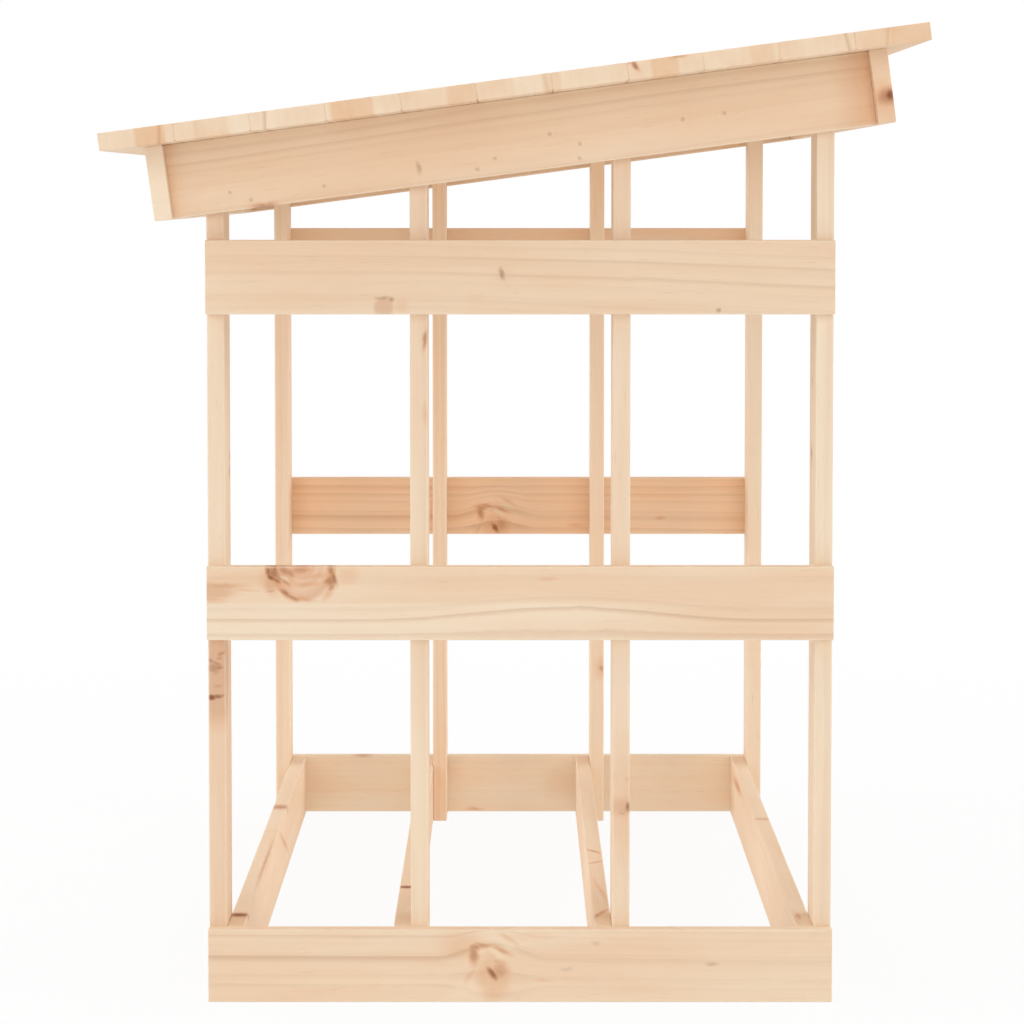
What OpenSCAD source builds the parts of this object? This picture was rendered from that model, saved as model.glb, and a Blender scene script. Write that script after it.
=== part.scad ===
// Garden log store: two slatted end frames, joists between them and a pitched roof of boards.
// X runs along the store, the open front faces -Y, and the origin is on the ground under the roof's centre.

/* [Board stock] */
// Width of the boards that every piece is cut from
board_w = 59; // [45:1:72]
// Thickness of those boards
board_t = 14; // [10:1:20]
// Chamfer along the long edges of every board
arris = 1; // [0.5:0.1:2]

/* [Frame] */
// Length over the outer faces of the two end frames
frame_l = 940; // [600:5:1800]
// Depth of an end frame, which is the length of its rails
frame_d = 500; // [350:5:700]
// Height of the middle rails' lower edge above the ground
middle_rail_z = 292; // [150:1:370]
// Gap between a top rail and the rafter over it, at the rail's back end
top_rail_gap = 20; // [5:1:60]

/* [Roof] */
// Height of the roof's highest edge above the ground
overall_h = 780; // [700:5:1100]
// Slope of the roof in degrees, falling to the back
pitch = 7.6; // [4:0.1:12]
// How far the rafters run past the end frames, to the front and to the back
rafter_overrun = 28.5; // [20:0.5:60]
// How far the roof boards run past the end frames, left and right
end_overhang = 70; // [20:1:120]
// How far the fascias stand proud of the rafters, left and right
fascia_proud = 14; // [0:1:18]

/* [Hidden] */
SIDES = ["left", "right"];
PLACES = ["back", "mid_back", "mid_front", "front"];
LEVELS = ["bottom", "middle", "top"];
EAVES = ["back", "front"];
pine = [0.92, 0.81, 0.68];

// Roof, measured along and square to its slope
rafter_l = (frame_d + rafter_overrun * 2) / cos(pitch);
fascia_span = rafter_l + board_t * 2;
roof_board_count = round(fascia_span / board_w) + 1;
roof_span = roof_board_count * board_w;
roof_board_l = frame_l + end_overhang * 2;
fascia_l = frame_l + fascia_proud * 2;

// The roof's centre stands back from the middle of its rafters, so the frame stands forward of the origin
frame_y = -(board_w + board_t) / 2 * sin(pitch);
rafter_z = overall_h - (roof_span / 2 - arris) * sin(pitch) - (board_w / 2 + board_t) * cos(pitch);

// End frames
rail_x = (frame_l - board_t) / 2;
post_x = frame_l / 2 - board_t - board_w / 2;
post_pitch = (frame_d - board_t) / (len(PLACES) - 1);
rafter_low_z = rafter_z - frame_d / 2 * tan(pitch) - board_w / 2 / cos(pitch);
top_rail_z = rafter_low_z - top_rail_gap - board_w;
joist_l = frame_l - board_t * 2;

function index_of(name, list) = search([name], list)[0];
function side_sign(side) = side == "left" ? -1 : 1;
function post_y(place) = frame_y + (frame_d - board_t) / 2 - index_of(place, PLACES) * post_pitch;
function joist_y(place) = post_y(place) + (place == "back" ? -board_t : board_t);
function rail_low_z(level) = level == "bottom" ? 0 : level == "middle" ? middle_rail_z : top_rail_z;
function two_digits(n) = n < 10 ? str("0", n) : str(n);

function post_node(side, place) = str(side, "_", place, "_post");
function rail_node(side, level) = str(side, "_", level, "_rail");
function rafter_node(side) = str(side, "_rafter");
function joist_node(place) = str(place, "_joist");
function fascia_node(eave) = str(eave, "_fascia");
function roof_board_node(n) = str("roof_board_", two_digits(n));

// Cross-section of the stock, with its four long edges eased
module stock_section() {
    half_t = board_t / 2;
    half_w = board_w / 2;
    polygon([
        [half_t, half_w - arris], [half_t - arris, half_w],
        [arris - half_t, half_w], [-half_t, half_w - arris],
        [-half_t, arris - half_w], [arris - half_t, -half_w],
        [half_t - arris, -half_w], [half_t, arris - half_w]
    ]);
}

// A length of stock along X, on edge and centred
module stock(length) {
    rotate([90, 0, 90])
        linear_extrude(length, center = true)
            stock_section();
}

// Children drawn about the rafters' centre line, with Y down the slope and Z square to the roof
module on_slope() {
    translate([0, frame_y, rafter_z])
        rotate([-pitch, 0, 0])
            children();
}

// Everything from the underside of the roof boards upwards
module roof_space() {
    on_slope()
        translate([-frame_l / 2, -roof_span / 2, board_w / 2])
            cube([frame_l, roof_span, overall_h]);
}

// Upright edge-on to the end of the store, with its top cut to the roof's slope
module post(side, place) {
    color(pine)
        difference() {
            translate([side_sign(side) * post_x, post_y(place), overall_h / 2])
                rotate([0, 90, 0])
                    stock(overall_h);
            roof_space();
        }
}

// Level board across the outside of the posts
module rail(side, level) {
    color(pine)
        translate([side_sign(side) * rail_x, frame_y, rail_low_z(level) + board_w / 2])
            rotate([0, 0, 90])
                stock(frame_d);
}

// Sloping board across the outside of the posts, between the fascias
module rafter(side) {
    color(pine)
        on_slope()
            translate([side_sign(side) * rail_x, 0, 0])
                rotate([0, 0, 90])
                    stock(rafter_l);
}

// Floor bearer on edge, beside the posts and between the bottom rails
module joist(place) {
    color(pine)
        translate([0, joist_y(place), board_w / 2])
            stock(joist_l);
}

// Eave board that closes the ends of the rafters
module fascia(eave) {
    downhill = eave == "back" ? 1 : -1;
    color(pine)
        on_slope()
            translate([0, downhill * (rafter_l + board_t) / 2, 0])
                stock(fascia_l);
}

// Roof board number n, counted from the low back edge
module roof_board(n) {
    color(pine)
        on_slope()
            translate([0, roof_span / 2 - (n - 1 / 2) * board_w, (board_w + board_t) / 2])
                rotate([90, 0, 0])
                    stock(roof_board_l);
}

for (side = SIDES) {
    for (place = PLACES)
        post(side, place);
    for (level = LEVELS)
        rail(side, level);
    rafter(side);
}
for (place = PLACES)
    joist(place);
for (eave = EAVES)
    fascia(eave);
for (n = [1 : roof_board_count])
    roof_board(n);
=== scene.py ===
"""Looks of a garden log store of planed pine boards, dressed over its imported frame."""

import math
import random

import bmesh
import bpy
from mathutils import Matrix, Vector


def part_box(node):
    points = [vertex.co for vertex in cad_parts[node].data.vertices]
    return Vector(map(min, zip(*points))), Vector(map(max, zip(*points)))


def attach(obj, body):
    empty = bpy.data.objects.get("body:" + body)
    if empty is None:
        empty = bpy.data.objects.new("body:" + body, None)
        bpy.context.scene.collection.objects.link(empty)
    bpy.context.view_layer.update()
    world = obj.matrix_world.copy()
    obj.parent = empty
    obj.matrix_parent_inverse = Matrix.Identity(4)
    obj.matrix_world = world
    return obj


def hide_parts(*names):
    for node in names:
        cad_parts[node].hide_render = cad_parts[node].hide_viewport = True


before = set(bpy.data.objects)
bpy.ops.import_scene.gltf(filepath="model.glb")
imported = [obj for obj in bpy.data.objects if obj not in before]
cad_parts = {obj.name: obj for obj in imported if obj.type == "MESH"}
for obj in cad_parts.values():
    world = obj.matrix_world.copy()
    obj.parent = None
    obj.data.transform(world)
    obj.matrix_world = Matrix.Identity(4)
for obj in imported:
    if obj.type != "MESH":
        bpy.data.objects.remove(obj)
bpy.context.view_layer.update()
scene = bpy.context.scene

MM = 0.001
X, Y, Z = Vector((1, 0, 0)), Vector((0, 1, 0)), Vector((0, 0, 1))


# Frame: the stock's size and the roof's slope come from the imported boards

SIDES = ("left", "right")
PLACES = ("back", "mid_back", "mid_front", "front")
LEVELS = ("bottom", "middle", "top")
EAVES = ("back", "front")
ROOF_BOARDS = sorted(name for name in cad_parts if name.startswith("roof_board"))

rail_low, rail_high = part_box("left_bottom_rail")
BOARD_T = rail_high.x - rail_low.x
BOARD_W = rail_high.z - rail_low.z


def centre_of(node):
    low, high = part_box(node)
    return (low + high) / 2


def extent(node):
    low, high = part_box(node)
    return high - low


DOWN_SLOPE = (centre_of(ROOF_BOARDS[0]) - centre_of(ROOF_BOARDS[-1])).normalized()
ROOF_NORMAL = X.cross(DOWN_SLOPE)
UNDER_ROOF = centre_of(ROOF_BOARDS[0]) - ROOF_NORMAL * BOARD_T / 2


def turn(along, across):
    """Rotation whose columns are a board's own axes: along, across and through it."""
    return Matrix((along, across, along.cross(across))).transposed()


RAIL_TURN = turn(-Y, Z)
POST_TURN = turn(-Z, -X)
JOIST_TURN = turn(X, Z)
RAFTER_TURN = turn(-DOWN_SLOPE, ROOF_NORMAL)
FASCIA_TURN = turn(X, ROOF_NORMAL)
ROOF_TURN = turn(X, DOWN_SLOPE)


# Spots: a middle, three radii, a strength, a turn in degrees and the share of the radii that is solid.
# All places are in mm along, across and through a board from its middle.
# THROUGH is a radius so large that a spot looks alike at every depth of the board.

THROUGH = 400
EDGE = BOARD_W / 2 / MM
EDGE_DEPTH = 9
END_DEPTH = 12
FASCIA_END = -extent("front_fascia").x / 2 / MM
ROOF_END = -extent(ROOF_BOARDS[0]).x / 2 / MM
SOFT = 0.1


def on_face(along, across, long, wide, strength, lean=0, solid=SOFT):
    """A spot that goes right through a board, as its two wide faces show it."""
    return (along, across, 0), (long, wide, THROUGH), strength, (0, 0, lean), solid


def on_edge(along, through, long, wide, strength, lean=0, solid=SOFT):
    """A spot in the long edge that a post or joist turns to the left end of the store or upwards."""
    return (along, EDGE, through), (long, EDGE_DEPTH, wide), strength, (0, lean, 0), solid


def on_end(end, across, through, wide, deep, strength, lean=0, solid=SOFT):
    """A spot in the sawn end of a board."""
    return (end, across, through), (END_DEPTH, wide, deep), strength, (lean, 0, 0), solid


def folded_knot(along, across):
    """Stains and bleached bands of a small dark heart in a rosy halo, with the grain folded over it."""
    stains_and_shade = (
        on_face(along - 1, across, 12.5, 5.6, 0.95, -53),
        on_face(along + 5, across + 3, 13, 16, 0.6),
        on_face(along + 3, across + 10, 8, 4, 0.5, -35),
        on_face(along, across - 2, 18, 25, 0.34, solid=0.45),
        on_face(along - 16, across + 15.6, 15, 7, 0.72, -80),
        on_face(along - 15.4, across + 21.6, 10, 5.4, 0.66, -4),
        on_face(along - 9, across + 23, 15, 4, 0.62, -10),
        on_face(along + 7, across + 18.4, 15, 4, 0.6, -20),
        on_face(along + 12, across + 28, 13, 4, 0.4, -32),
        on_face(along - 19, across - 2, 10, 3, 0.34, 50))
    pale = (
        on_face(along + 3, across + 16, 16, 3.4, 0.5, -30),
        on_face(along - 8, across + 19, 8, 3, 0.4, 22),
        on_face(along - 5, across + 29, 14, 6, 0.2, -8),
        on_face(along + 11, across + 24, 14, 5, 0.45, -18),
        on_face(along - 21, across - 14, 24, 14, 0.4))
    return dict(stains_and_shade=stains_and_shade, pale=pale)


# Figures: what grew in each board.
# The pith is across and through, ring is a year's width, and tone goes from sapwood at 0 to heartwood at 1.
# The grain's slope is mm across per mm along, bend curves it, and wander is the range in mm that it strays.
# A vein is a strong ring line: how far across it lies, its strength and its width.
# Veins rise along the board from a share of their strength: from, to and the share.
# A band is a straight strip that is paler or warmer: from and to across it, and by what share.
# Bands fade out along the board from the first place of band_end to the second.
# A swell pushes the grain aside as a knot does, with nothing else to be seen.

# Boards marked rosy, at the far end, take a redder and brighter heartwood: painted warm light bounced between
# boards in the shade under the roof.
PLAIN_FIGURE = dict(
    slope=0.0, bend=0.0, wander=7, veins=(), vein_rise=None, bands=(), band_end=None, swells=(), knots=(),
    stains_and_shade=(), flecks=(), pale=(), rosy=False, groove_shade_and_dust=False)
RAFTER_FLECKS = (
    (-234, -15), (-218, -23), (-159, -19), (-37, -22), (-22, -16), (23, -2), (46, -13), (44, -24), (129, -5),
    (162, -4))
left_bottom_knot = folded_knot(-21.5, -6.3)
right_middle_knot = folded_knot(-23, -23)

# Stain marks here include painted shade: the long marks at the near posts' tops, under the rafter, and the
# wide marks at the rafter's ends, beside the fascias.
FIGURES = {
    "left_top_rail": dict(
        pith=(-170, -60), slope=0.02, bend=6e-5, ring=9, contrast=0.08, tone=0.38,
        veins=((24, 0.12, 3), (15, 0.24, 3), (2, 0.24, 3), (-20, 0.12, 3)), vein_rise=(-180, 60, 0.5),
        stains_and_shade=(
            on_face(-14, 1, 13, 12, 0.12), on_face(-108, -24, 9.5, 10, 0.3, solid=0.6),
            on_face(-94, -22.5, 9, 9, 0.22), on_face(-35, -18, 12, 9, 0.1), on_face(150, 26, 90, 9, 0.14)),
        flecks=(
            on_face(-14.6, 2.8, 7.5, 3.2, 0.58, -72), on_face(157, -26, 3.2, 2.8, 0.52),
            on_face(-108, -24, 9.5, 10, 0.13, solid=0.6), on_face(-109.5, -16.6, 9, 2.6, 0.4),
            on_face(-102, -17.8, 4, 3.5, 0.56))),
    "left_middle_rail": dict(
        pith=(-170, -40), ring=10, contrast=0.07, tone=0.4, wander=2,
        veins=((-4, 0.14, 5), (-13, 0.42, 3), (-25, 0.28, 4)), vein_rise=(-100, 120, 0.8),
        bands=((0.5, -40, -0.28),), band_end=(0, 180),
        swells=(((36, -27, 0), (62, 22, THROUGH)),),
        knots=(((-174, 31, 0), (28, 30, THROUGH), "rim"),),
        stains_and_shade=(
            on_face(-200.7, 25.6, 9, 5, 0.92, -78), on_face(-198.6, 21, 8, 4.6, 0.95, -45),
            on_face(-194.8, 18.8, 9, 4, 0.86, -28), on_face(-195.4, 28, 5, 3.6, 0.86, 75),
            on_face(-196.2, 24.6, 9, 12, 0.84, 20), on_face(-192, 22, 12, 6, 0.74, -40),
            on_face(-187.6, 26.4, 14, 7, 0.72, -30), on_face(-183.6, 24.6, 10, 5, 0.7, -45),
            on_face(-175, 27.4, 17, 7, 0.64, 6), on_face(-187, 17.2, 10, 3.8, 0.7, -38),
            on_face(-195, 20, 22, 17, 0.5), on_face(-199, 15, 15, 11, 0.52, -60),
            on_face(-198.3, 9.8, 8, 3, 0.6, 12),
            on_face(-187.8, 7.9, 11, 4, 0.8, -45), on_face(-182, 4.8, 13, 3.8, 0.72, -18),
            on_face(-173, 3.1, 15, 3.4, 0.46, -3),
            on_face(-151.3, 26, 12, 3.6, 0.76, -78), on_face(-148.6, 20, 11, 4.6, 0.86, -72),
            on_face(-150.6, 17.4, 10, 8, 0.78, -70), on_face(-152.8, 18.6, 8, 4.4, 0.76, 38),
            on_face(-149.8, 13, 9, 4.6, 0.72, 58), on_face(-152, 9, 12, 5, 0.44, 50),
            on_face(-163, 22, 18, 3.4, 0.4, 10), on_face(-169, 15.5, 18, 3, 0.42, 3),
            on_face(-137, 22, 13, 10, 0.26), on_face(-222, 22, 40, 12, 0.14),
            on_face(-250, 9.9, 34, 9, 0.48, solid=0.4), on_face(-238, 13.6, 34, 4.4, 0.54, 2),
            on_face(-250, 4, 24, 6, 0.44), on_face(-222, 10.6, 26, 2.8, 0.34),
            on_face(22, 20, 14, 2.8, 0.34)),
        pale=(on_face(-188, 20, 7.5, 2.4, 0.5, -40),)),
    "left_bottom_rail": dict(
        pith=(-170, -40), slope=0.01, ring=9, contrast=0.08, tone=0.38, wander=4,
        veins=((23, 0.22, 3), (6, 0.44, 5), (-17, 0.18, 3)), vein_rise=(25, -30, 0.35),
        knots=(((-21, -11, 0), (19, 21, THROUGH), "fold"),),
        stains_and_shade=left_bottom_knot["stains_and_shade"] + (
            on_face(18, -11.5, 12, 2.4, 0.3), on_face(10, 24, 30, 6, 0.16), on_face(-46, 18, 32, 17, 0.3)),
        pale=left_bottom_knot["pale"] + (on_face(-140, -13, 130, 8, 0.35),),
        flecks=(
            on_face(37, -2.3, 9, 2.6, 0.2), on_face(61, 18.4, 6, 2.4, 0.2),
            on_face(153.6, 1.8, 8, 3, 0.32))),
    "left_rafter": dict(
        pith=(-120, -60), slope=-0.008, ring=7, contrast=0.07, tone=0.44,
        veins=((24, 0.16, 4), (15, 0.22, 3), (8, 0.1, 3), (-4, 0.08, 3), (-26, 0.12, 3)),
        stains_and_shade=(
            # The two wide marks at the rafter's ends darken it beside the fascias, which stand proud of it:
            # painted shade.
            on_face(-209, -30, 18, 6, 0.95), on_face(288, 0, 46, 110, 0.45), on_face(-288, 0, 22, 110, 0.3)),
        flecks=tuple(on_face(along, across, 2.6, 2.8, 0.34) for along, across in RAFTER_FLECKS) + (
            on_face(-83, -15, 3.2, 8.5, 0.42),)),
    # The far end's rails and posts below are rosy: their heartwood holds painted warm bounce light.
    "right_top_rail": dict(
        pith=(-120, -60), slope=0.004, ring=6, contrast=0.16, tone=0.3, rosy=True,
        stains_and_shade=(on_face(190, 0, 130, 90, 0.12),)),
    "right_middle_rail": dict(
        pith=(-90, -60), slope=0.006, ring=7, contrast=0.2, tone=0.47, rosy=True,
        veins=((20, 0.26, 4), (12, 0.22, 3), (-11, 0.4, 5)), vein_rise=(30, -25, 0.5),
        knots=(((-22, -28, 0), (19, 21, THROUGH), "fold"),),
        stains_and_shade=right_middle_knot["stains_and_shade"] + (on_face(148, -13, 9, 3, 0.5), on_face(60, -20, 14, 3, 0.35)),
        pale=right_middle_knot["pale"]),
    "right_bottom_rail": dict(
        pith=(-140, -50), slope=0.002, ring=7, contrast=0.06, tone=0.06, rosy=True,
        stains_and_shade=(
            on_face(45, 2, 32, 26, 0.2), on_face(-207, 0, 44, 36, 0.12), on_face(-46, -27, 15, 3, 0.5),
            on_face(-163, 29, 15, 3, 0.6))),
    "right_rafter": dict(pith=(100, -60), slope=0.006, ring=7, contrast=0.16, tone=0.36),
    "left_back_post": dict(
        pith=(-120, 40), slope=0.004, ring=7, contrast=0.1, tone=0.2,
        stains_and_shade=(
            # The long mark at -320 darkens the post's top under the rafter: painted shade.
            on_edge(-320, 0, 110, 60, 0.22), on_face(80, EDGE, 68, 44, 0.53, solid=0.45),
            on_face(215, 0, 200, 80, 0.2, solid=0.75),
            on_edge(65.7, -3.6, 10, 4.4, 0.74, -60), on_edge(69.5, -2, 4.4, 8, 0.7, 10),
            on_edge(74.2, 0.6, 13, 4.4, 0.76, 62), on_edge(72, 5.6, 6, 4.6, 0.78, 50),
            on_edge(77.6, 3, 11, 14, 0.76), on_edge(77.6, -1, 4.6, 10, 0.82),
            on_edge(81.7, 0, 12, 3.8, 0.66, -62), on_edge(92, -1, 14, 4.4, 0.66, -76),
            on_edge(101, 0, 15, 5, 0.9, -80), on_edge(102.2, 5, 6, 9, 1.0))),
    "left_mid_back_post": dict(
        pith=(-90, 60), slope=-0.004, ring=7, contrast=0.1, tone=0.22,
        stains_and_shade=(
            # The long mark at -330 darkens the post's top under the rafter: painted shade.
            on_edge(-330, 0, 110, 60, 0.13), on_edge(-175, -5.4, 16, 3.4, 0.75, -12),
            on_edge(-115, -6, 16, 5, 0.34)),
        pale=(on_edge(200, 0, 170, 40, 0.3),)),
    "left_mid_front_post": dict(
        pith=(-120, -50), slope=0.003, ring=8, contrast=0.1, tone=0.25,
        stains_and_shade=(
            # The long mark at -340 darkens the post's top under the rafter: painted shade.
            on_edge(-340, 0, 120, 60, 0.24), on_edge(205, 0, 80, 34, 0.27), on_edge(212, -1, 20, 26, 0.5),
            on_edge(212, -6, 8, 6, 0.95), on_edge(213.5, -4, 8, 8, 0.6), on_edge(217, -1, 3.4, 9, 0.6),
            on_edge(190, -5, 7, 6, 0.4))),
    "left_front_post": dict(
        pith=(120, -60), slope=0.003, ring=8, contrast=0.1, tone=0.1,
        # The mark at -345 darkens the post's top under the rafter: painted shade.
        stains_and_shade=(on_edge(-345, 0, 120, 60, 0.09), on_edge(240, 0, 160, 40, 0.1))),
    # These far posts are rosy too: painted warm bounce light in their heartwood.
    "right_back_post": dict(pith=(110, 60), slope=0.002, ring=8, contrast=0.1, tone=0.26, rosy=True),
    "right_mid_back_post": dict(pith=(60, 50), slope=0.004, ring=6, contrast=0.14, tone=0.34, rosy=True),
    "right_mid_front_post": dict(
        pith=(90, -60), slope=0.003, ring=7, contrast=0.12, tone=0.24, rosy=True,
        stains_and_shade=(on_edge(209, -4, 17, 11, 0.36), on_edge(209, -5, 7, 6, 0.66))),
    "right_front_post": dict(pith=(-130, 60), slope=0.002, ring=8, contrast=0.1, tone=0.14, rosy=True),
    "back_joist": dict(
        pith=(-120, 30), ring=7, contrast=0.12, tone=0.3,
        stains_and_shade=(
            on_edge(-409, 0, 15, 20, 1.0), on_edge(128, 0, 26, 20, 0.75), on_edge(-165, 5, 190, 3, 0.6),
            on_face(69, 6, 110, 6, 0.5, -17))),
    "mid_back_joist": dict(
        pith=(-120, 60), ring=7, contrast=0.12, tone=0.36, stains_and_shade=(on_edge(-286, 0, 12, 20, 1.0),)),
    "mid_front_joist": dict(
        pith=(-120, -60), ring=7, contrast=0.12, tone=0.36,
        stains_and_shade=(
            on_edge(-114, 0, 24, 5, 0.7, 30), on_edge(-169, 0, 18, 5, 0.62, -40),
            on_edge(-298, 1, 90, 3.4, 0.42, 5), on_edge(-404, -1, 38, 4.8, 0.66, -18))),
    "front_joist": dict(
        pith=(-120, -40), ring=7, contrast=0.12, tone=0.32,
        stains_and_shade=(
            on_face(330, 17.5, 110, 9, 0.7, -2), on_edge(59, 0, 11, 20, 0.55),
            on_edge(-414, -2, 22, 3, 0.55))),
    "front_fascia": dict(
        pith=(140, -30), slope=0.002, ring=8, contrast=0.08, tone=0.26,
        stains_and_shade=(
            on_end(FASCIA_END, -8, 5, 11, 11, 1.0), on_end(FASCIA_END, -8.5, 3, 15, 19, 0.8),
            on_end(FASCIA_END, -12, 2, 25, 25, 0.38))),
    "back_fascia": dict(pith=(140, 30), slope=0.002, ring=9, contrast=0.08, tone=-0.22),
}

# Roof boards, from the low eave up: tone, bands, dark lines and stains
ROOF_FIGURES = (
    dict(tone=0.12, bands=((1, -22, 0.5),), veins=((-22, 0.5, 3),)),
    dict(tone=0.3, bands=((30, 15, -0.12), (-13, -40, -0.25)), veins=((15, 0.16, 3),)),
    dict(tone=0.06, veins=((14, 0.5, 3),)),
    dict(tone=0.14, bands=((25, -8, 0.42),)),
    dict(tone=0.2, bands=((-6, -40, 0.3),)),
    dict(tone=0.3, bands=((0, -22, -0.25),), veins=((-22, 0.24, 3),)),
    dict(tone=0.42, bands=((23, -40, -0.28),)),
    dict(tone=0.24, bands=((11, -10, 0.36),), stains_and_shade=(
        on_end(ROOF_END, 23.4, 4, 3.6, 9, 0.85, -33), on_end(ROOF_END, -11, 7, 14, 3, 0.62),
        on_end(ROOF_END, 28, 7, 8, 3, 0.5))),
    dict(tone=0.2, bands=((-7, -25, 0.2),)),
    dict(tone=0.34, bands=((10, -40, -0.14),), veins=((-20, 0.45, 3),)),
    dict(tone=0.34, bands=((2, -40, 0.16),), veins=((2, 0.3, 3),)),
)
# Neighbouring roof boards grew on opposite sides of their piths
ROOF_PITH = (160, 20)
ROOF_SLOPE = 0.003
# Every roof board's long arrises are darkened with dust and painted shade, as grooves between the boards
for number, (node, roof_figure) in enumerate(zip(ROOF_BOARDS, ROOF_FIGURES)):
    way = (-1) ** number
    FIGURES[node] = dict(
        roof_figure, pith=(way * ROOF_PITH[0], ROOF_PITH[1]), slope=way * ROOF_SLOPE, ring=8,
        contrast=0.14, groove_shade_and_dust=True)

# Where chance knots may fall: along as shares of the length, across, and their middle and radius through
ROOF_LOT = ((-0.40, 0.47), (-28, 28), (0, THROUGH))
WIDE_FACE_LOT = ((-0.45, 0.45), (-24, 8), (0, THROUGH))
FAR_FACE_LOT = ((-0.46, 0.46), (-28, 28), (-9, 8))
LOT_KNOT_EVERY = 300
LOT_KNOT_PLENTY = (0.3, 1.4)
LOT_KNOT_RADII = (4, 13)
LOT_KNOT_STRETCH = (0.9, 1.3)


def chance_knots(rng, length, lot):
    """Knots where they fall, in the part of a board that has no figure of its own."""
    (along_from, along_to), (across_from, across_to), (depth, reach) = lot
    knots = []
    for _ in range(int(length / LOT_KNOT_EVERY * rng.uniform(*LOT_KNOT_PLENTY))):
        radius = rng.triangular(*LOT_KNOT_RADII, LOT_KNOT_RADII[0])
        middle = (rng.uniform(along_from, along_to) * length, rng.uniform(across_from, across_to), depth)
        radii = (radius * rng.uniform(*LOT_KNOT_STRETCH), radius, reach)
        knots.append((middle, radii, "core"))
    return knots


# Materials

def to_linear(hex_colour):
    """An sRGB hex colour as linear RGBA."""
    parts = [int(hex_colour[i:i + 2], 16) / 255 for i in (1, 3, 5)]
    return [c / 12.92 if c <= 0.04045 else ((c + 0.055) / 1.055) ** 2.4 for c in parts] + [1.0]


def add_node(tree, kind, inputs=(), out=0, stops=(), **settings):
    """Adds a node with its settings and a ramp's stops, and returns an output.
    Its inputs are filled or linked, in their order or by name."""
    node = tree.nodes.new(kind)
    for key, value in settings.items():
        setattr(node, key, value)
    for key, value in inputs.items() if isinstance(inputs, dict) else enumerate(inputs):
        if isinstance(value, bpy.types.NodeSocket):
            tree.links.new(value, node.inputs[key])
        else:
            node.inputs[key].default_value = value
    for number, (position, colour) in enumerate(stops):
        if number >= len(node.color_ramp.elements):
            node.color_ramp.elements.new(position)
        node.color_ramp.elements[number].position = position
        node.color_ramp.elements[number].color = colour
    return node.outputs[out] if node.outputs else node


# A Mix node's sockets go by number, because their names repeat: share, colour under, over and result
SHARE, UNDER, OVER, RESULT = 0, 6, 7, 2
COLOUR_MIX = dict(out=RESULT, data_type="RGBA")


def new_material(name):
    material = bpy.data.materials.new(name)
    material.use_nodes = True
    material.node_tree.nodes.clear()
    return material


SAPWOOD = to_linear("#F1DEC4")
HEARTWOOD = to_linear("#E2B489")
# A redder, brighter heartwood for the far end's boards: painted warm light bounced between boards in the
# shade under the roof
ROSY_BOUNCE_LIT_HEARTWOOD = to_linear("#F4BC8B")
LATEWOOD = to_linear("#B98556")
# Colours of real stains, also used for painted shade on the near posts' tops and at the rafter's ends
STAIN_AND_SHADE = to_linear("#D8955F")
DEEP_SHADE_AND_STAIN = to_linear("#8A4B28")
FLECK = to_linear("#8A5C34")
BLEACHED = to_linear("#F3DFC0")
ARRIS = to_linear("#F4E6D0")
# Dust and painted shade for the roof boards' arrises, where the boards meet edge to edge
GROOVE_SHADE_AND_DUST = to_linear("#C49A6E")
FIBRE_ROUGHNESS, LATEWOOD_ROUGHNESS = 0.68, 0.52
PINE_IOR = 1.5

# Sizes of the grain's parts, in mm along the board and across it, and the detail of their noise.
# Real fibre is far finer than a pixel of the render, so it is drawn as coarse as it needs to show.
GRAIN_NOISES = {
    "wander": (260, 60, 1.0), "tone": (170, 24, 2.0), "fibre": (60, 1.3, 3.0), "resin": (16, 1.1, 1.0),
    "ragged": (9, 9, 4.0)}
NOISE_MIDDLE = 0.5
# Lengths here are in mm, and a part's low, high and from are levels of its noise or cover
TREE_SPREAD = 900
RAGGED_BY = 4.5
RING_DRIFT_MM = 14
RING_DRIFT_BY = 5.0
YEARS = 99
# Latewood darkens from summer to winter, as shares of a year's ring
SUMMER, WINTER = 0.35, 0.92
VEIN_REACH = 45
VEIN_SHARP = 0.4
TONE_CLOUD = 0.16
CLOUD_LOW, CLOUD_HIGH = 0.25, 0.75
BAND_SOFT = 1.8
FIBRE_SHADE = 0.05
FIBRE_LOW, FIBRE_HIGH = 0.3, 0.7
RESIN_SHADE = 0.16
RESIN_LOW, RESIN_HIGH = 0.66, 0.76
DEEP_FROM = 0.35
ARRIS_REACH = 1.8
ARRIS_FULL = 0.2
ARRIS_SHARE = 0.7
END_REACH = 0.4
END_LINES = 0.35
END_WARMTH = 0.18
GRAIN_RELIEF = 0.12
GRAIN_STRENGTH = 0.5
GRAIN_LOW, GRAIN_HIGH = 0.3, 1.0

# Knots from the heart outwards, as shares of the radius: colour, and how much of it covers the wood
CORE_KNOT = (
    (0.00, "#8A5532", 0.95), (0.12, "#99613B", 0.9), (0.22, "#C68F67", 0.75), (0.36, "#D7A27C", 0.7),
    (0.44, "#DFB08C", 0.66), (0.56, "#DBAA85", 0.62), (0.66, "#E2B594", 0.56), (0.86, "#E2B793", 0.42),
    (1.00, "#E4BC98", 0.0))
RIM_KNOT = (
    (0.00, "#DCAA87", 0.75), (0.22, "#E2B595", 0.7), (0.34, "#DAA988", 0.7), (0.42, "#E5BB9C", 0.66),
    (0.56, "#DCAD8A", 0.66), (0.64, "#E4B999", 0.64), (0.78, "#DDAA86", 0.66), (0.89, "#CE9872", 0.6),
    (0.95, "#D6A47E", 0.45), (1.00, "#DDB088", 0.0))
KNOT_STOPS = {"core": CORE_KNOT, "rim": RIM_KNOT}
# How far knots push the grain, as a share of their radius, and from which to which of their radii
KNOT_PUSH = {"core": 0.72, "rim": 0.0, "swell": 0.5, "fold": 0.6}
KNOT_PUSH_FROM, KNOT_PUSH_FULL = 2.6, 0.5
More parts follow.
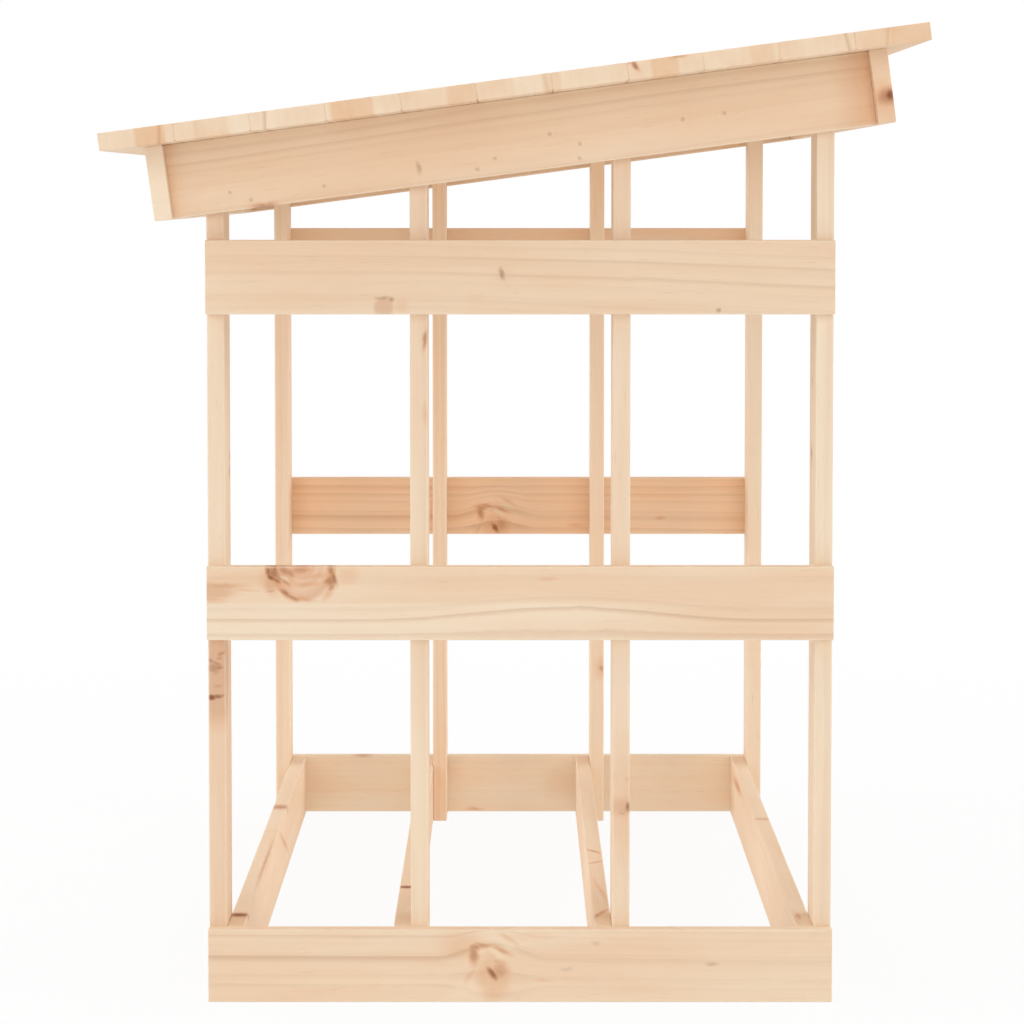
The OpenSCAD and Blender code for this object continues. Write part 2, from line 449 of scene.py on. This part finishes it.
# Round these the ring lines are bolder, so many times and from which to which of their radii
FLARED_KNOTS = ("core", "fold")
KNOT_FLARE = 2.2
KNOT_FLARE_FROM, KNOT_FLARE_FULL = 2.2, 1.1


def grain_noises(tree, spot, rng):
    """Noise for each part of the grain, from this board's own place in its tree."""
    tree_place = [rng.uniform(-TREE_SPREAD, TREE_SPREAD) for _ in range(3)]
    stray = add_node(tree, "ShaderNodeVectorMath", (spot, tree_place), operation="ADD")
    noises = {}
    for part, (along, across, detail) in GRAIN_NOISES.items():
        at = add_node(tree, "ShaderNodeVectorMath", (
            stray, (1 / along, 1 / across, 1 / across)), operation="MULTIPLY")
        noises[part] = add_node(tree, "ShaderNodeTexNoise", {"Vector": at, "Scale": 1.0, "Detail": detail})
    return noises


def ragged_spot(tree, spot, noise):
    """The place on the board, shaken a little, so that knots and stains have uneven outlines."""
    shake = add_node(tree, "ShaderNodeVectorMath", (
        noise.node.outputs["Color"], [-NOISE_MIDDLE] * 3), operation="ADD")
    return add_node(tree, "ShaderNodeVectorMath", (
        shake, [RAGGED_BY] * 3, spot), operation="MULTIPLY_ADD")


def leaning_grain(tree, spot, along, figure):
    """The grain's own place, which runs along the board with a slight slope and bend."""
    lean = add_node(tree, "ShaderNodeMath", (
        along, figure["bend"], figure["slope"]), operation="MULTIPLY_ADD")
    lean = add_node(tree, "ShaderNodeMath", (lean, along), operation="MULTIPLY")
    lean = add_node(tree, "ShaderNodeCombineXYZ", {"Y": lean})
    return add_node(tree, "ShaderNodeVectorMath", (spot, lean), operation="ADD")


def pushed_grain(tree, grain, ragged, figure, knots):
    """The grain pushed aside by knots and hidden swells, and how many radii away each kind of knot is."""
    knot_reach = {}
    swells = [(middle, radii, "swell") for middle, radii in figure["swells"]]
    for middle, radii, kind in swells + knots:
        away = add_node(tree, "ShaderNodeVectorMath", (
            ragged, [1 / r for r in radii], [-m / r for m, r in zip(middle, radii)],
        ), operation="MULTIPLY_ADD")
        reach = add_node(tree, "ShaderNodeVectorMath", (away,), operation="LENGTH", out="Value")
        push = add_node(tree, "ShaderNodeMapRange", (
            reach, KNOT_PUSH_FROM, KNOT_PUSH_FULL, 0.0, -KNOT_PUSH[kind] * radii[1],
        ), interpolation_type="SMOOTHSTEP")
        aside = add_node(tree, "ShaderNodeVectorMath", {"Vector": away, "Scale": push}, operation="SCALE")
        grain = add_node(tree, "ShaderNodeVectorMath", (
            aside, (0, 1, 0), grain), operation="MULTIPLY_ADD")
        if kind in knot_reach:
            reach = add_node(tree, "ShaderNodeMath", (reach, knot_reach[kind]), operation="MINIMUM")
        knot_reach[kind] = reach
    return grain, knot_reach


def ring_radius(tree, grain, noise, figure):
    """How far each point grew from the pith, with a slow wander so that no line is quite straight."""
    cross = add_node(tree, "ShaderNodeVectorMath", (grain, (0, 1, 1)), operation="MULTIPLY")
    radius = add_node(tree, "ShaderNodeVectorMath", (
        cross, (0, *figure["pith"])), operation="DISTANCE", out="Value")
    wander = add_node(tree, "ShaderNodeMath", (noise, NOISE_MIDDLE), operation="SUBTRACT")
    return add_node(tree, "ShaderNodeMath", (wander, figure["wander"], radius), operation="MULTIPLY_ADD")


def ring_lines(tree, radius, end, knot_reach, figure, rng):
    """Share of latewood: rings uneven from year to year, fainter on sawn ends and bolder round knots."""
    year_at = add_node(tree, "ShaderNodeMath", (radius, 1 / RING_DRIFT_MM), operation="MULTIPLY")
    drift = add_node(tree, "ShaderNodeTexNoise", {
        "W": year_at, "Scale": 1.0, "Detail": 1.0}, noise_dimensions="1D")
    uneven = add_node(tree, "ShaderNodeMath", (drift, RING_DRIFT_BY, radius), operation="MULTIPLY_ADD")
    ring = add_node(tree, "ShaderNodeMath", (uneven, figure["ring"]), operation="DIVIDE")
    season = add_node(tree, "ShaderNodeMath", (ring,), operation="FRACT")
    year = add_node(tree, "ShaderNodeMath", (ring,), operation="FLOOR")
    year = add_node(tree, "ShaderNodeMath", (year, rng.uniform(0, YEARS)), operation="ADD")
    year = add_node(tree, "ShaderNodeTexWhiteNoise", {"W": year}, noise_dimensions="1D")
    darker = add_node(tree, "ShaderNodeMapRange", (
        season, SUMMER, WINTER), interpolation_type="SMOOTHSTEP")
    over = add_node(tree, "ShaderNodeMapRange", (
        season, WINTER, 1.0, 1.0, 0.0), interpolation_type="SMOOTHSTEP")
    on_ends = add_node(tree, "ShaderNodeMapRange", (end, -END_REACH, 0.0, 1.0, END_LINES))
    late = add_node(tree, "ShaderNodeMath", (darker, over), operation="MULTIPLY")
    for share in (year, figure["contrast"], on_ends):
        late = add_node(tree, "ShaderNodeMath", (late, share), operation="MULTIPLY")
    for kind in FLARED_KNOTS:
        if kind in knot_reach:
            flare = add_node(tree, "ShaderNodeMapRange", (
                knot_reach[kind], KNOT_FLARE_FROM, KNOT_FLARE_FULL, 1.0, KNOT_FLARE,
            ), interpolation_type="SMOOTHSTEP")
            late = add_node(tree, "ShaderNodeMath", (late, flare), operation="MULTIPLY")
    return late


def with_veins(tree, late, radius, along, thickness, figure):
    """Adds the few ring lines that stand out, soft on the pith's side and sharp on the other."""
    if not figure["veins"]:
        return late
    pith_across, pith_through = figure["pith"]
    depth = thickness / 2 - pith_through
    reference = math.hypot(pith_across, depth)
    stops = []
    for across, strength, wide in figure["veins"]:
        shift = math.hypot(across - pith_across, depth) - reference
        for offset, share in ((-wide, 0.0), (0.0, strength), (wide * VEIN_SHARP, 0.0)):
            stops.append((0.5 + (shift + offset) / (2 * VEIN_REACH), (share, share, share, 1.0)))
    vein_at = add_node(tree, "ShaderNodeMapRange", (
        radius, reference - VEIN_REACH, reference + VEIN_REACH))
    vein = add_node(tree, "ShaderNodeValToRGB", (vein_at,), stops=sorted(stops))
    if figure["vein_rise"]:
        rise_from, rise_to, share = figure["vein_rise"]
        rise = add_node(tree, "ShaderNodeMapRange", (
            along, rise_from, rise_to, share, 1.0), interpolation_type="SMOOTHSTEP")
        vein = add_node(tree, "ShaderNodeMath", (vein, rise), operation="MULTIPLY")
    return add_node(tree, "ShaderNodeMath", (late, vein), operation="MAXIMUM")


def wood_tone(tree, along, end, noise, figure):
    """From sapwood to heartwood: the board's own tone, its clouds, its straight bands and its sawn ends."""
    tone = add_node(tree, "ShaderNodeMapRange", (
        noise, CLOUD_LOW, CLOUD_HIGH, figure["tone"] - TONE_CLOUD, figure["tone"] + TONE_CLOUD), clamp=False)
    warmth = add_node(tree, "ShaderNodeMapRange", (end, -END_REACH, 0.0, 0.0, END_WARMTH))
    tone = add_node(tree, "ShaderNodeMath", (tone, warmth), operation="ADD")
    across = along.node.outputs["Y"]
    for top, bottom, share in figure["bands"]:
        half = (top - bottom) / 2
        off = add_node(tree, "ShaderNodeMath", (across, (top + bottom) / 2), operation="SUBTRACT")
        off = add_node(tree, "ShaderNodeMath", (off,), operation="ABSOLUTE")
        band = add_node(tree, "ShaderNodeMapRange", (
            off, half + BAND_SOFT, half - BAND_SOFT, 0.0, share), interpolation_type="SMOOTHSTEP")
        if figure["band_end"]:
            fade_from, fade_to = figure["band_end"]
            fade = add_node(tree, "ShaderNodeMapRange", (
                along, fade_from, fade_to, 1.0, 0.0), interpolation_type="SMOOTHSTEP")
            band = add_node(tree, "ShaderNodeMath", (band, fade), operation="MULTIPLY")
        tone = add_node(tree, "ShaderNodeMath", (tone, band), operation="ADD")
    return tone


def wood_colour(tree, tone, late, noises, figure):
    """Sapwood and heartwood by tone, with a redder heartwood of painted bounce light on the far end's boards,
    darkened by ring lines, fine fibre and short resin streaks.
    """
    # The far end's boards take the redder heartwood of painted bounce light
    heart = ROSY_BOUNCE_LIT_HEARTWOOD if figure["rosy"] else HEARTWOOD
    colour = add_node(tree, "ShaderNodeMix", {SHARE: tone, UNDER: SAPWOOD, OVER: heart}, **COLOUR_MIX)
    colour = add_node(tree, "ShaderNodeMix", {SHARE: late, UNDER: colour, OVER: LATEWOOD}, **COLOUR_MIX)
    fibre = add_node(tree, "ShaderNodeMapRange", (
        noises["fibre"], FIBRE_LOW, FIBRE_HIGH, -FIBRE_SHADE, FIBRE_SHADE))
    resin = add_node(tree, "ShaderNodeMapRange", (
        noises["resin"], RESIN_LOW, RESIN_HIGH, 0.0, RESIN_SHADE), interpolation_type="SMOOTHSTEP")
    fine = add_node(tree, "ShaderNodeMath", (fibre, resin), operation="ADD")
    return add_node(tree, "ShaderNodeMix", {
        SHARE: fine, UNDER: colour, OVER: LATEWOOD}, clamp_factor=True, **COLOUR_MIX)


def with_knots(tree, colour, knot_reach):
    """Lays the nearest knot of each kind over the wood."""
    for kind, knot_colours in KNOT_STOPS.items():
        if kind in knot_reach:
            stops = [(position, to_linear(shade)[:3] + [share]) for position, shade, share in knot_colours]
            knot = add_node(tree, "ShaderNodeValToRGB", (knot_reach[kind],), stops=stops)
            cover = knot.node.outputs["Alpha"]
            colour = add_node(tree, "ShaderNodeMix", {SHARE: cover, UNDER: colour, OVER: knot}, **COLOUR_MIX)
    return colour


def spots_cover(tree, ragged, spots):
    """How much the spots of one kind cover the wood, where the strongest counts."""
    cover = None
    for middle, radii, strength, lean, solid in spots:
        away = add_node(tree, "ShaderNodeMapping", {
            "Vector": ragged, "Location": middle, "Scale": radii,
            "Rotation": [math.radians(part) for part in lean]}, vector_type="TEXTURE")
        reach = add_node(tree, "ShaderNodeVectorMath", (away,), operation="LENGTH", out="Value")
        spot = add_node(tree, "ShaderNodeMapRange", (
            reach, 1.0, solid, 0.0, strength), interpolation_type="SMOOTHSTEP")
        if cover:
            spot = add_node(tree, "ShaderNodeMath", (spot, cover), operation="MAXIMUM")
        cover = spot
    return cover


def with_spots(tree, colour, ragged, figure):
    """Lays reddish staining and painted shade, bleached bands and dry brown flecks over the wood."""
    if figure["stains_and_shade"]:
        # These marks include painted shade, laid in the same colours as the stains.
        cover = spots_cover(tree, ragged, figure["stains_and_shade"])
        deep = add_node(tree, "ShaderNodeMapRange", (cover, DEEP_FROM, 1.0))
        stain_and_shade_colour = add_node(tree, "ShaderNodeMix", {SHARE: deep, UNDER: STAIN_AND_SHADE, OVER: DEEP_SHADE_AND_STAIN}, **COLOUR_MIX)
        colour = add_node(tree, "ShaderNodeMix", {SHARE: cover, UNDER: colour, OVER: stain_and_shade_colour}, **COLOUR_MIX)
    for kind, shade in (("pale", BLEACHED), ("flecks", FLECK)):
        if figure[kind]:
            cover = spots_cover(tree, ragged, figure[kind])
            colour = add_node(tree, "ShaderNodeMix", {SHARE: cover, UNDER: colour, OVER: shade}, **COLOUR_MIX)
    return colour


def with_arrises(tree, colour, past, noise, figure):
    """Arrises, crushed pale by the planer and worn unevenly, or, on roof boards that meet edge to edge,
    darkened by dust and painted shade in the groove.
    """
    corner = add_node(tree, "ShaderNodeMath", (
        past.node.outputs["Y"], past.node.outputs["Z"]), operation="MINIMUM")
    arris_mask = add_node(tree, "ShaderNodeMapRange", (
        corner, -ARRIS_REACH, -ARRIS_FULL, 0.0, ARRIS_SHARE), interpolation_type="SMOOTHSTEP")
    arris_mask = add_node(tree, "ShaderNodeMath", (arris_mask, noise), operation="MULTIPLY")
    # Roof boards' arrises take dust and painted shade in the grooves between boards, the eave edges too.
    arris = GROOVE_SHADE_AND_DUST if figure["groove_shade_and_dust"] else ARRIS
    return add_node(tree, "ShaderNodeMix", {SHARE: arris_mask, UNDER: colour, OVER: arris}, **COLOUR_MIX)


def pine(name, turned, centre, size, figure, knots, rng):
    """Planed, untreated pine: pale sapwood, faint ring lines that bend round reddish knots, fine fibre
    along the board and a dull sheen. One board's own rings, so its faces, edges and ends agree."""
    material = new_material(name)
    tree = material.node_tree
    half_size = [side / 2 / MM for side in size]
    place = add_node(tree, "ShaderNodeTexCoord", out="Object")
    spot = add_node(tree, "ShaderNodeMapping", {
        "Vector": place, "Location": centre, "Rotation": turned.to_euler(), "Scale": (MM, MM, MM),
    }, vector_type="TEXTURE")
    along = add_node(tree, "ShaderNodeSeparateXYZ", (spot,))
    past = add_node(tree, "ShaderNodeVectorMath", (spot,), operation="ABSOLUTE")
    past = add_node(tree, "ShaderNodeVectorMath", (past, half_size), operation="SUBTRACT")
    past_end = add_node(tree, "ShaderNodeSeparateXYZ", (past,))

    noises = grain_noises(tree, spot, rng)
    ragged = ragged_spot(tree, spot, noises["ragged"])
    grain = leaning_grain(tree, spot, along, figure)
    grain, knot_reach = pushed_grain(tree, grain, ragged, figure, knots)
    radius = ring_radius(tree, grain, noises["wander"], figure)
    late = ring_lines(tree, radius, past_end, knot_reach, figure, rng)
    late = with_veins(tree, late, radius, along, size[2] / MM, figure)

    tone = wood_tone(tree, along, past_end, noises["tone"], figure)
    colour = wood_colour(tree, tone, late, noises, figure)
    colour = with_knots(tree, colour, knot_reach)
    colour = with_spots(tree, colour, ragged, figure)
    colour = with_arrises(tree, colour, past_end, noises["ragged"], figure)

    # Latewood stands a little proud and shines more than the fibre between
    height = add_node(tree, "ShaderNodeMath", (noises["fibre"], late), operation="ADD")
    bump = add_node(tree, "ShaderNodeBump", {
        "Height": height, "Strength": GRAIN_STRENGTH, "Distance": GRAIN_RELIEF * MM})
    rough = add_node(tree, "ShaderNodeMapRange", (
        height, GRAIN_LOW, GRAIN_HIGH, FIBRE_ROUGHNESS, LATEWOOD_ROUGHNESS))
    shader = add_node(tree, "ShaderNodeBsdfPrincipled", {
        "Base Color": colour, "Roughness": rough, "IOR": PINE_IOR, "Normal": bump})
    add_node(tree, "ShaderNodeOutputMaterial", {"Surface": shader})
    return material


# Boards

LONG_EASE = 1.1 * MM
END_EASE = 0.5 * MM
EASE_STEPS = 3
# A face is a sawn end where its normal runs this much along the grain
END_FACING = 0.9


def ease_edges(bm, grain_way):
    """Rounds a bar's four long edges by the planer, then the rims of its two sawn ends a little less."""
    for offset, at_ends in ((LONG_EASE, False), (END_EASE, True)):
        ends = [face for face in bm.faces if abs(face.normal.dot(grain_way)) > END_FACING]
        end_edges = {edge for face in ends for edge in face.edges}
        edges = [edge for edge in bm.edges if (edge in end_edges) == at_ends]
        bmesh.ops.bevel(
            bm, geom=edges, offset=offset, offset_type="OFFSET", segments=EASE_STEPS, profile=0.5,
            affect="EDGES", material=-1)


def cut_under_roof(bm):
    """Cuts a post's top to the roof's slope."""
    cut = bmesh.ops.bisect_plane(
        bm, geom=bm.verts[:] + bm.edges[:] + bm.faces[:], plane_co=UNDER_ROOF, plane_no=ROOF_NORMAL,
        clear_outer=True)
    rim = [part for part in cut["geom_cut"] if isinstance(part, bmesh.types.BMEdge)]
    bmesh.ops.holes_fill(bm, edges=rim, sides=0)
    bmesh.ops.recalc_face_normals(bm, faces=bm.faces)


def board(node, turned, length, lot=None, cut_to_roof=False):
    """One board over its node: a planed bar with eased edges and ends, in its place."""
    centre = centre_of(node)
    size = (length, BOARD_W, BOARD_T)
    bm = bmesh.new()
    bmesh.ops.create_cube(bm, size=1.0)
    bmesh.ops.scale(bm, vec=size, verts=bm.verts)
    bmesh.ops.transform(bm, matrix=Matrix.Translation(centre) @ turned.to_4x4(), verts=bm.verts)
    if cut_to_roof:
        cut_under_roof(bm)
    ease_edges(bm, turned.col[0])
    mesh = bpy.data.meshes.new(node + "_board")
    bm.to_mesh(mesh)
    bm.free()
    piece = bpy.data.objects.new(node + "_board", mesh)
    scene.collection.objects.link(piece)
    rng = random.Random(node)
    figure = {**PLAIN_FIGURE, **FIGURES[node]}
    knots = list(figure["knots"])
    if lot:
        knots += chance_knots(rng, length / MM, lot)
    mesh.materials.append(pine("pine_" + node, turned, centre, size, figure, knots, rng))
    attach(piece, "root")
    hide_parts(node)


for side in SIDES:
    for place in PLACES:
        node = f"{side}_{place}_post"
        board(node, POST_TURN, extent(node).z, WIDE_FACE_LOT, cut_to_roof=True)
    for level in LEVELS:
        node = f"{side}_{level}_rail"
        board(node, RAIL_TURN, extent(node).y, FAR_FACE_LOT)
for place in PLACES:
    node = f"{place}_joist"
    board(node, JOIST_TURN, extent(node).x)
for eave in EAVES:
    node = f"{eave}_fascia"
    board(node, FASCIA_TURN, extent(node).x, ROOF_LOT)
fascia_gap = (centre_of("back_fascia") - centre_of("front_fascia")).length - BOARD_T
for side in SIDES:
    board(f"{side}_rafter", RAFTER_TURN, fascia_gap, FAR_FACE_LOT)
for node in ROOF_BOARDS:
    board(node, ROOF_TURN, extent(node).x, ROOF_LOT)


# Studio, in metres: a white floor that glows, a faint sky and broad soft lights all round

PAPER = to_linear("#F2F2F2")
WHITE = to_linear("#FFFFFF")
FLOOR_HALF = 30.0
# Share of glow in the floor's light on the store: the floor shines on it from below like a lamp
FLOOR_LIGHT = 0.55
FLOOR_GLOW = 0.92
FADE_FROM, FADE_TO = 0.8, 2.5


def seen_directly(tree):
    """1 where the eye sees a surface, itself or in gloss and glass, and 0 where it only lights others."""
    rays = add_node(tree, "ShaderNodeLightPath").node.outputs
    seen = add_node(tree, "ShaderNodeMath", (
        rays["Is Camera Ray"], rays["Is Glossy Ray"]), operation="MAXIMUM")
    return add_node(tree, "ShaderNodeMath", (seen, rays["Is Transmission Ray"]), operation="MAXIMUM")


def floor_material():
    """Matt white paper that glows: plain white for the eye far off, with a soft shadow near the store, and a
    glow that also lights the store from below.
    """
    material = new_material("white_paper_floor")
    tree = material.node_tree
    paper = add_node(tree, "ShaderNodeBsdfDiffuse", {"Color": PAPER})
    glow = add_node(tree, "ShaderNodeEmission", {"Color": WHITE, "Strength": 1.0})
    place = add_node(tree, "ShaderNodeTexCoord", out="Object")
    away = add_node(tree, "ShaderNodeVectorMath", (place,), operation="LENGTH", out="Value")
    fade = add_node(tree, "ShaderNodeMapRange", (
        away, FADE_FROM, FADE_TO, FLOOR_GLOW, 1.0), interpolation_type="SMOOTHSTEP")
    share = add_node(tree, "ShaderNodeMapRange", {
        "Value": seen_directly(tree), "To Min": FLOOR_LIGHT, "To Max": fade})
    both = add_node(tree, "ShaderNodeMixShader", (share, paper, glow))
    add_node(tree, "ShaderNodeOutputMaterial", {"Surface": both})
    return material


bm = bmesh.new()
bmesh.ops.create_grid(bm, x_segments=1, y_segments=1, size=FLOOR_HALF)
floor_mesh = bpy.data.meshes.new("floor")
bm.to_mesh(floor_mesh)
bm.free()
floor = bpy.data.objects.new("floor", floor_mesh)
scene.collection.objects.link(floor)
floor_mesh.materials.append(floor_material())

SKY_STRENGTH = 0.15
SOFT_ANGLE = math.radians(45)
LAMP_AWAY = 5.0
# Each light: the way it stands from the store, how high in degrees, and its strength
SOFT_LIGHTS = {
    "left": (-X, 9, 1.2), "front": (-X * 0.25 - Y, 30, 1.1), "back": (-X * 0.25 + Y, 30, 1.1),
    "right_front": (X - Y, 20, 0.85), "right_back": (X + Y, 20, 0.85), "above": (Y, 88, 0.8)}

scene.view_settings.view_transform = "Standard"
world = bpy.data.worlds.new("studio")
scene.world = world
world.use_nodes = True
tree = world.node_tree
tree.nodes.clear()
strength = add_node(tree, "ShaderNodeMapRange", {
    "Value": seen_directly(tree), "To Min": SKY_STRENGTH, "To Max": 1.0})
sky = add_node(tree, "ShaderNodeBackground", {"Color": WHITE, "Strength": strength})
add_node(tree, "ShaderNodeOutputWorld", {"Surface": sky})

for name, (bearing, degrees, power) in SOFT_LIGHTS.items():
    soft_light = bpy.data.lights.new("soft_light_" + name, "SUN")
    soft_light.energy = power
    soft_light.angle = SOFT_ANGLE
    lamp = bpy.data.objects.new("soft_light_" + name, soft_light)
    height = math.radians(degrees)
    slant = bearing.normalized() * math.cos(height) + Z * math.sin(height)
    lamp.location = slant * LAMP_AWAY
    lamp.rotation_euler = slant.to_track_quat("Z", "Y").to_euler()
    scene.collection.objects.link(lamp)


# Camera, in metres: square to the left end and at the height of the low eave, as in the photograph

PHOTO_PX = 1024
FOCAL_PX = 3750.7
EYE = Vector((-3.4458, 0.0017, 0.6506))
DIP = math.radians(3.351)
SHIFT_Y = -0.1
SENSOR_MM = 36.0
CLIP_END = 200.0

camera_data = bpy.data.cameras.new("camera")
camera_data.sensor_width = SENSOR_MM
camera_data.lens = FOCAL_PX / PHOTO_PX * SENSOR_MM
camera_data.shift_y = SHIFT_Y
camera_data.clip_end = CLIP_END
camera = bpy.data.objects.new("camera", camera_data)
camera.location = EYE
camera.rotation_euler = (math.pi / 2 - DIP, 0.0, -math.pi / 2)
scene.collection.objects.link(camera)
scene.camera = camera
